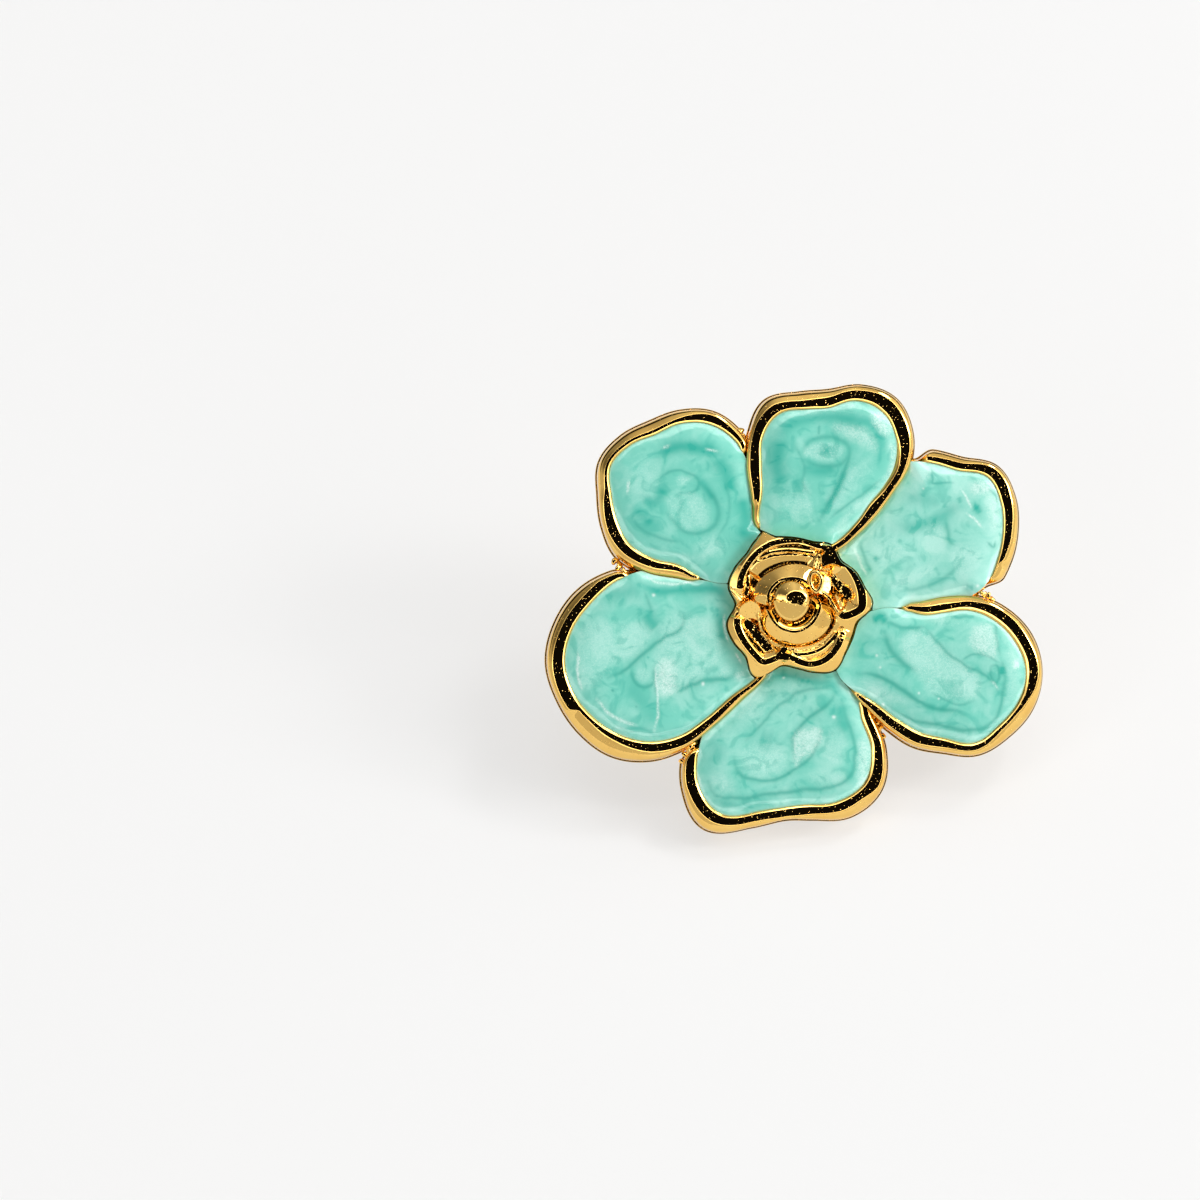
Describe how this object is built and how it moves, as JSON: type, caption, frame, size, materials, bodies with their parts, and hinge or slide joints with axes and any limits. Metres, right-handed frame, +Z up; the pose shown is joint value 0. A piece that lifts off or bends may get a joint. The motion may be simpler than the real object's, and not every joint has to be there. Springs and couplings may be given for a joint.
{
  "type": "flower stud earring",
  "caption": "Gold-coloured cast flower stud with glossy marbled enamel petals, a raised rose at its middle and an ear post on its flat back, lying as it is set down.",
  "frame": {"origin": "on the ear post's axis, 2 mm behind the flat back, in the middle of the ear lobe that it passes through", "axes": "+Z up from the surface it lies on, +X to the right seen from the front and along that surface, -Y towards the side that the flower's face leans up to"},
  "size_m": [0.0298, 0.0214, 0.0183],
  "materials": {
    "gold_plate": "polished gold-coloured plating, mirror bright",
    "enamel": "thick glossy pearly resin enamel, marbled pale and deeper green-blue",
    "gold_post": "polished gold-coloured plating"
  },
  "bodies": {
    "root": {"flower_casting": "gold_plate", "enamel_top": "enamel", "enamel_top_right": "enamel", "enamel_right": "enamel", "enamel_bottom": "enamel", "enamel_left": "enamel", "enamel_top_left": "enamel", "ear_post": "gold_post"}
  },
  "joints": []
}
